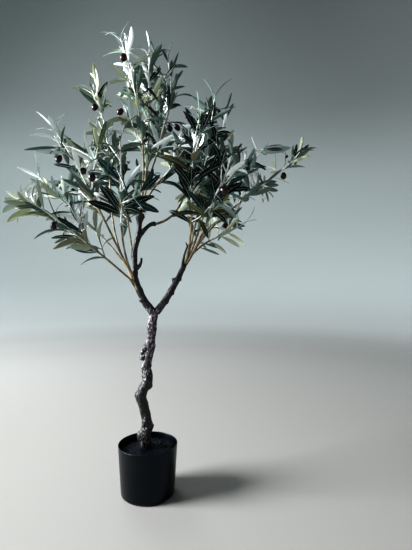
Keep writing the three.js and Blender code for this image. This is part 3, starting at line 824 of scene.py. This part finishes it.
def limb_line(foot, length, headings, steps=24):
    """A line whose heading turns smoothly from its foot through its middle to its tip."""
    a, b, c = (heading(*h) for h in headings)
    line = [foot]
    for i in range(steps):
        t = (i + 0.5) / steps
        d = v_add(v_add(v_mul(a, (1 - t) * (1 - 2 * t)), v_mul(b, 4 * t * (1 - t))), v_mul(c, t * (2 * t - 1)))
        line.append(v_add(line[-1], v_mul(v_unit(d), length / steps)))
    return line


def on_line(line, t):
    """The point and the direction at a share t of a line of even steps."""
    n = len(line) - 1
    x = min(max(t, 0.0), 1.0) * n
    i = min(int(x), n - 1)
    return v_mix(line[i], line[i + 1], x - i), v_unit(v_sub(line[i + 1], line[i]))


def leaf_on(rng, foot, d, turn, open_angle, length, kind):
    """A leaf: foot, direction, side, length, width, bend and twist in radians, kind."""
    side0 = across(d)
    out = v_turn(side0, d, turn)
    ld = v_unit(v_add(v_mul(d, math.cos(open_angle)), v_mul(out, math.sin(open_angle))))
    side = v_turn(v_unit(v_cross(ld, d)), ld, rng.uniform(-0.95, 0.95))
    width = length * rng.uniform(0.11, 0.212)
    return (foot, ld, side, length, width, rng.uniform(-0.15, 1.25), rng.uniform(-0.6, 0.6), kind)


def spray(line, t0, t1, nodes, seed, size, kind, tip=False):
    """Nodes of two leaves along a line from t0 to t1, each pair a quarter turn on from the last, and two more at a tip."""
    rng = random.Random(seed)
    turn = rng.uniform(0, 2 * math.pi)
    shift = rng.uniform(0.1, 0.9)
    leaves = []
    for k in range(nodes):
        t = t0 + (t1 - t0) * (k + shift) / nodes
        p, d = on_line(line, t)
        young = 0.7 * (k + shift) / nodes if tip else 0.0
        turn += math.pi / 2 + rng.uniform(-0.4, 0.4)
        for s in (0, 1):
            open_angle = math.radians(rng.uniform(26, 68)) * (1.0 - 0.3 * young)
            length = size * rng.uniform(0.76, 1.24) * (1.0 - 0.25 * young)
            leaf = leaf_on(rng, p, d, turn + s * math.pi + rng.uniform(-0.35, 0.35), open_angle, length, kind)
            if rng.random() > 0.08:
                leaves.append(leaf)
    if tip:
        p, d = on_line(line, 1.0)
        for s in (0, 1):
            w = turn + math.pi / 2 + s * math.pi + rng.uniform(-0.5, 0.5)
            leaves.append(leaf_on(rng, p, d, w, math.radians(rng.uniform(8, 34)), size * rng.uniform(0.6, 1.0), kind))
    return leaves


def twig_line(line, t, seed, reach):
    """A twig that leaves a line at t and curves, mostly upwards."""
    rng = random.Random(seed)
    p, d = on_line(line, t)
    out = v_turn(across(d), d, rng.uniform(0, 2 * math.pi))
    a = math.radians(rng.uniform(22, 66))
    h = v_unit(v_add(v_mul(d, math.cos(a)), v_mul(out, math.sin(a))))
    length = reach * rng.uniform(0.55, 1.3)
    lift = rng.uniform(-0.2, 0.8)
    side = v_mul(v_turn(across(h), h, rng.uniform(0, 6.28)), rng.uniform(0, 0.4))
    pts = [p]
    for i in range(8):
        u = (i + 0.5) / 8
        g = v_unit(v_add(v_add(h, (0, 0, lift * u)), v_mul(side, u)))
        pts.append(v_add(pts[-1], v_mul(g, length / 8)))
    return pts


def leaf_half_width(u):
    """Share of the half width at a share u of the length: a short stalk, widest past the middle, a rounded point."""
    if u < 0.06:
        return 0.14
    s = (u - 0.06) / 0.94
    return max(0.14 * (1 - s), 2.76 * s ** 0.8 * max(0.0, 1 - s) ** 0.68)


LEAF_STOPS = (0.0, 0.035, 0.07, 0.16, 0.28, 0.42, 0.56, 0.69, 0.8, 0.89, 0.955, 0.99)


def leaf_frames(leaf):
    """Stations along a leaf: centre, side vector, normal vector, half width."""
    foot, d, side, length, width, bend, twist, kind = leaf
    normal = v_unit(v_cross(side, d))
    if abs(bend) < 1e-3:
        bend = 1e-3
    out = []
    for u in LEAF_STOPS:
        a, b = math.sin(bend * u) / bend, (1 - math.cos(bend * u)) / bend
        c = v_add(foot, v_add(v_mul(d, length * a), v_mul(normal, -length * b)))
        dd = v_unit(v_add(v_mul(d, math.cos(bend * u)), v_mul(normal, -math.sin(bend * u))))
        s = v_turn(side, dd, twist * u)
        out.append((c, s, v_unit(v_cross(s, dd)), width / 2 * leaf_half_width(u), u))
    return out


# ------------------------------------------------------------------ grow it

LINES, leaves, twigs = {}, {}, {}
for _name, (_at, _off, _length, _heads, _bare) in STEMS.items():
    _foot = tuple((a + o) / 1000 for a, o in zip(ENDS[_at], _off))
    _line = LINES[_name] = limb_line(_foot, _length / 1000, _heads)
    _size = LEAF_LENGTH.get(_name, 0.071)
    _own, _side = SEEDS[_name]
    here = leaves[_name] = []
    k = len(_own)
    for i, (_seed, _kind) in enumerate(_own):
        _t0, _t1 = round(_bare + (1 - _bare) * i / k, 3), round(_bare + (1 - _bare) * (i + 1) / k, 3)
        here += spray(_line, _t0, _t1, 2, _seed, _size, _kind, tip=(i == k - 1))
    m = len(_side)
    twigs[_name] = []
    for i, (_seed, _low, _high, _kinds) in enumerate(_side):
        tw = twig_line(_line, round(_bare + (0.98 - _bare) * (i + 0.2) / m, 3), _seed, TWIG_REACH)
        twigs[_name].append(tw)
        here += spray(tw, 0.18, 0.6, 2, _low, _size * 0.95, _kinds[0])
        here += spray(tw, 0.6, 1.0, 1, _high, _size * 0.92, _kinds[1], tip=True)

# ------------------------------------------------------------------ where the olives of the front hang

# Where each hangs: its stem, the number of its side twig or -1 for the stem itself, the share along that, and the offset
# of the olive's middle from there in mm, and its size as a share of a full olive.
# OLIVES BEGIN
OLIVES = [
    ("top", -1, 0.91, (-4.3, -4.0, -9.4), 1),
    ("tall_left", 4, 0.7, (-5.2, -4.0, -11.1), 1),
    ("top_middle", 2, 0.95, (-27.4, -4.0, -4.9), 0.95),
    ("upper_left", 2, 0.2, (-7.3, -4.0, -5.1), 1.05),
    ("upper_left", 3, 0.4, (-12.2, -4.0, -18.3), 0.9),
    ("upper_left", 1, 0.45, (-2.4, -4.0, -7.2), 1),
    ("low_left", -1, 0.778, (-5.6, -4.0, -12.7), 1),
    ("top_right", -1, 0.595, (10.6, -4.0, -12.8), 1),
    ("top_right", -1, 0.605, (30.2, -4.0, -14.7), 0.95),
    ("forward_right", 1, 0.95, (18.1, -24.0, 7.7), 1.1),
    ("far_right", 3, 0.2, (4.9, -4.0, -14.9), 0.95),
    ("far_right", 3, 0.8, (-24.9, -4.0, 0.8), 0.5),
]
# OLIVES END


def olive_places():
    out = []
    for name, twig, t, off, share in OLIVES:
        p, d = on_line(LINES[name] if twig < 0 else twigs[name][twig], t)
        out.append((p, v_add(p, v_mul(off, 0.001)), share))
    return out


def gives_way(leaf, centres):
    """True where a leaf would run through an olive."""
    for c, s, n, h, u in leaf_frames(leaf):
        if any(v_len(v_sub(c, q)) < 0.0095 + h * 0.5 for q in centres):
            return True
    return False


HUNG = olive_places()
for _name in leaves:
    leaves[_name] = [l for l in leaves[_name] if not gives_way(l, [q for p, q, share in HUNG])]

# ------------------------------------------------------------------ leaf materials

LEAF_COLOURS = {
    # kind: top, underside, midrib on top
    "d": (srgb(9, 22, 20), srgb(97, 116, 108), srgb(172, 188, 178)),
    "t": (srgb(28, 56, 57), srgb(212, 224, 224), srgb(150, 166, 156)),
    "o": (srgb(52, 66, 44), srgb(178, 188, 168), srgb(150, 160, 130)),
    "b": (srgb(62, 62, 44), srgb(140, 139, 119), srgb(150, 144, 110)),
    "p": (srgb(140, 157, 152), srgb(247, 251, 252), srgb(200, 210, 202)),
    "y": (srgb(112, 121, 88), srgb(199, 206, 178), srgb(186, 194, 150)),
}
KINDS = list(LEAF_COLOURS)
leaf_paints = []
for _k in KINDS:
    for _n, _c, _r in zip(("top", "under", "rib"), LEAF_COLOURS[_k], (0.34, 0.62, 0.5)):
        _m = plain("leaf_" + _k + "_" + _n, _c, _r, 0.26)
        noise_bump(_m, 330.0, 0.3, 0.0005, 3.0)
        leaf_paints.append(_m)


def leaf_mesh(name, group):
    """Leaves joined into one mesh. Each is a thin closed blade that is folded a little along its midrib."""
    verts, faces, mats = [], [], []
    n = len(LEAF_STOPS) - 1
    for leaf in group:
        kind = KINDS.index(leaf[7]) * 3
        n0 = len(verts)
        for c, s, nn, h, u in leaf_frames(leaf):
            h = max(h, 0.0003)
            rib = min(0.00042 * (1.2 - u), h * 0.45)
            lift = 0.20 * h
            th = min(0.00022, h * 0.5)
            for x, z in (
                (-h, lift), (-h * 0.55, lift * 0.42 + th), (-rib, th * 0.9), (rib, th * 0.9), (h * 0.55, lift * 0.42 + th), (h, lift),
                (h * 0.5, lift * 0.36 - th), (0.0, -th - rib * 1.2), (-h * 0.5, lift * 0.36 - th),
            ):
                verts.append(v_add(c, v_add(v_mul(s, x), v_mul(nn, z))))
        for i in range(n):
            a, b = n0 + i * 9, n0 + (i + 1) * 9
            for k in range(9):
                m = (k + 1) % 9
                faces.append((a + k, a + m, b + m, b + k))
                mats.append(kind + (2 if k == 2 else 0 if k < 5 else 1))
        faces.append(tuple(n0 + k for k in range(9))[::-1])
        mats.append(kind + 1)
        faces.append(tuple(n0 + n * 9 + k for k in range(9)))
        mats.append(kind)
    o = mesh_object(name, verts, faces, leaf_paints, True, mats)
    me = o.data
    ev = np.empty(len(me.edges) * 2, np.int32)
    me.edges.foreach_get("vertices", ev)
    pos = ev.reshape(-1, 2) % 9
    edge = (pos[:, 0] == pos[:, 1]) & ((pos[:, 0] == 0) | (pos[:, 0] == 5))
    me.attributes.new("sharp_edge", "BOOLEAN", "EDGE").data.foreach_set("value", edge)
    return o


def check_outward(o):
    """Turns a mesh's faces out if they point in."""
    bm = bmesh.new()
    bm.from_mesh(o.data)
    if bm.calc_volume(signed=True) < 0:
        bmesh.ops.reverse_faces(bm, faces=bm.faces)
        bm.to_mesh(o.data)
    bm.free()


GROUPS = {
    "leaves_of_left_side": [n for n in STEMS if "left" in n],
    "leaves_of_top": ["top", "top_middle", "top_right", "centre", "middle_right", "back_middle"],
    "leaves_of_right_side": ["front_right", "tall_right", "outer_right", "far_right", "low_right", "back_right", "forward_right"],
}
MASS_NODES = [n for n in NODES if n.startswith("leaves_")]


def owner(node):
    """The group that a mass of the frame belongs to."""
    n = node[len("leaves_"):]
    if n.startswith("top") or n.startswith("crest") or n in ("centre", "middle_right", "back_middle"):
        return "leaves_of_top"
    return "leaves_of_left_side" if "left" in n else "leaves_of_right_side"


total_leaves, leaf_faces = 0, []
for gname, stems in GROUPS.items():
    group = [l for s in stems for l in leaves[s]]
    total_leaves += len(group)
    o = leaf_mesh(gname, group)
    check_outward(o)
    leaf_faces.append(len(o.data.polygons))
    finish_piece(o, "leaves", *[n for n in MASS_NODES if owner(n) == gname])

# ------------------------------------------------------------------ stems and twigs


def tube(line, r0, r1, sides, verts, faces, knobs=()):
    n = len(line) - 1
    n0 = len(verts)
    prev = across(v_unit(v_sub(line[1], line[0])))
    for i, p in enumerate(line):
        d = v_unit(v_sub(line[min(i + 1, n)], line[max(i - 1, 0)]))
        s = v_unit(v_sub(prev, v_mul(d, v_dot(prev, d))))
        prev = s
        f = v_cross(d, s)
        r = r0 + (r1 - r0) * i / n
        if i in knobs:
            r *= 1.32
        for k in range(sides):
            w = 2 * math.pi * k / sides
            verts.append(v_add(p, v_add(v_mul(s, math.cos(w) * r), v_mul(f, math.sin(w) * r))))
    for i in range(n):
        for k in range(sides):
            m = (k + 1) % sides
            a, b = n0 + i * sides, n0 + (i + 1) * sides
            faces.append((a + k, a + m, b + m, b + k))
    faces.append(tuple(n0 + k for k in range(sides))[::-1])
    faces.append(tuple(n0 + n * sides + k for k in range(sides)))


stem_paint = mixed("stem_tan", srgb(90, 78, 62), srgb(160, 145, 119), 60.0, (0.38, 0.6), 4.0, 0.5)
noise_bump(stem_paint, 500.0, 0.45, 0.0006, 4.0)
# the leafy upper stems and the twigs are near white: partly their own pale colour and partly painted highlight, the
# bright lit look of thin glossy twigs put into their colour
pale_stem_paint_with_painted_highlight = mixed("stem_pale_painted_highlight", srgb(168, 166, 152), srgb(222, 224, 216), 60.0, (0.4, 0.6), 4.0, 0.5)
noise_bump(pale_stem_paint_with_painted_highlight, 500.0, 0.35, 0.0006, 4.0)
twig_paint_with_painted_highlight = mixed("twig_pale_painted_highlight", srgb(196, 200, 190), srgb(236, 239, 234), 45.0, (0.4, 0.6), 4.0, 0.5)
_v, _f, _m = [], [], []
for _name, _line in LINES.items():
    bare = STEMS[_name][4]
    fine = [on_line(_line, i / 72)[0] for i in range(73)]
    f0 = len(_f)
    tube(fine, 0.0034 if _name == "middle_right" else 0.0029, 0.0013, 10, _v, _f, knobs=set(range(int(72 * bare), 72, 4)))
    # past the bare share the stem takes the pale paint, with its painted highlight
    turn_pale = int(72 * min(0.8, bare + 0.22)) * 10
    _m += [0 if i < turn_pale else 1 for i in range(len(_f) - f0)]
# three stems of the left bough lie along its bark for a little way below their feet
_a, _b = (np.array(x, float) for x in LIMBS["bough_left"][:2])
_axis = (_b - _a) / np.linalg.norm(_b - _a)
for _name, _side, _down in (("low_left", (-0.9, -0.45, 0.0), 0.66), ("upper_left", (-0.5, -0.85, 0.0), 0.74), ("left", (-1.0, 0.05, 0.0), 0.72)):
    _n = np.array(_side) - np.dot(_side, _axis) * _axis
    _n /= np.linalg.norm(_n)
    _rows = [tuple((_a + (_b - _a) * t + _n * r) / 1000) for t, r in ((_down, 6.6), (_down + 0.12, 8.2), (0.93, 8.8))]
    _rows += [on_line(LINES[_name], t)[0] for t in (0.07, 0.11)]
    _fine = catmull([tuple(r) for r in _rows], 6)
    f0 = len(_f)
    tube([tuple(r) for r in _fine], 0.0022, 0.0025, 10, _v, _f)
    _m += [0] * (len(_f) - f0)
stem_piece = mesh_object("tan_stems", _v, _f, [stem_paint, pale_stem_paint_with_painted_highlight], True, _m)
finish_piece(stem_piece, "stems", *[n for n in NODES if n.startswith("stem_")])
_v, _f = [], []
for _rows in twigs.values():
    for _line in _rows:
        fine = [on_line(_line, i / 16)[0] for i in range(17)]
        tube(fine, 0.0017, 0.0011, 7, _v, _f, knobs={5, 9, 13})
twig_piece = mesh_object("twigs", _v, _f, [twig_paint_with_painted_highlight])
finish_piece(twig_piece, "stems")

# ------------------------------------------------------------------ olives



def olive(centre, axis, length, width, verts, faces):
    """A closed egg round an axis, a little longer than wide, with a small point at its free end."""
    n0 = len(verts)
    s = across(axis)
    f = v_cross(axis, s)
    rings, sides = 12, 16
    verts.append(v_add(centre, v_mul(axis, -length / 2)))
    for i in range(1, rings):
        w = math.pi * i / rings
        z = -math.cos(w) * length / 2
        r = math.sin(w) ** 0.92 * width / 2 * (1 - 0.06 * math.cos(w))
        if i == rings - 1:
            z += 0.0004
        for k in range(sides):
            a = 2 * math.pi * k / sides
            verts.append(v_add(centre, v_add(v_mul(axis, z), v_add(v_mul(s, math.cos(a) * r), v_mul(f, math.sin(a) * r)))))
    verts.append(v_add(centre, v_mul(axis, length / 2 + 0.0007)))
    for k in range(sides):
        faces.append((n0, n0 + 1 + (k + 1) % sides, n0 + 1 + k))
    for i in range(rings - 2):
        for k in range(sides):
            m = (k + 1) % sides
            a, b = n0 + 1 + i * sides, n0 + 1 + (i + 1) * sides
            faces.append((a + k, a + m, b + m, b + k))
    base = n0 + 1 + (rings - 2) * sides
    for k in range(sides):
        faces.append((len(verts) - 1, base + k, base + (k + 1) % sides))


def hang_olives():
    rng = random.Random(905)
    skin_v, skin_f, stalk_v, stalk_f = [], [], [], []
    places = []
    places += HUNG
    # more of them on the far side of the crown, on twigs that reach back
    back = [(n, i) for n in STEMS for i, tw in enumerate(twigs[n]) if tw[-1][1] > 0.085]
    rng.shuffle(back)
    for n, i in back[:11]:
        p, d = on_line(twigs[n][i], rng.uniform(0.25, 0.75))
        out = v_turn(across(d), d, rng.uniform(0, 6.28))
        places.append((p, v_add(p, v_add(v_mul(out, 0.012), (0, 0.004, -0.009))), 1.0))
    for p, centre, share in places:
        hang = v_unit(v_add(v_unit(v_sub(centre, p)), (rng.uniform(-0.35, 0.35), rng.uniform(-0.2, 0.2), -0.9)))
        length, width = 0.0212 * share * rng.uniform(0.93, 1.06), 0.0168 * share * rng.uniform(0.93, 1.06)
        olive(centre, hang, length, width, skin_v, skin_f)
        top = v_add(centre, v_mul(hang, -length / 2 + 0.0006))
        lift = v_add(top, v_mul(hang, -0.004))
        mid = v_mix(p, lift, 0.55)
        mid = v_add(mid, (0, 0, 0.1 * v_len(v_sub(lift, p))))
        rows = []
        for i in range(9):
            u = i / 8
            a, b, c = v_mix(p, mid, u), v_mix(mid, lift, u), v_mix(lift, top, u)
            rows.append(v_mix(v_mix(a, b, u), v_mix(b, c, u), u))
        tube(rows, 0.0009, 0.0010, 7, stalk_v, stalk_f, knobs={8})
    skin = mesh_object("olives", skin_v, skin_f, [olive_skin])
    # the stalks take the twig paint, with its painted highlight
    stalk = mesh_object("olive_stalks", stalk_v, stalk_f, [twig_paint_with_painted_highlight])
    return skin, stalk


olive_skin = mixed("olive_skin", srgb(9, 5, 11), srgb(54, 14, 27), 55.0, (0.2, 0.34), 3.0, 0.5)
noise_bump(olive_skin, 240.0, 0.15, 0.0004, 2.0)
olives_piece, stalk_piece = hang_olives()
finish_piece(olives_piece, "leaves")
finish_piece(stalk_piece, "stems")

for o in (stem_piece, twig_piece, pot, fill, bits, olives_piece, stalk_piece):
    check_outward(o)

print("leaves", total_leaves, "leaf faces", leaf_faces, "bark", len(bark.data.polygons))
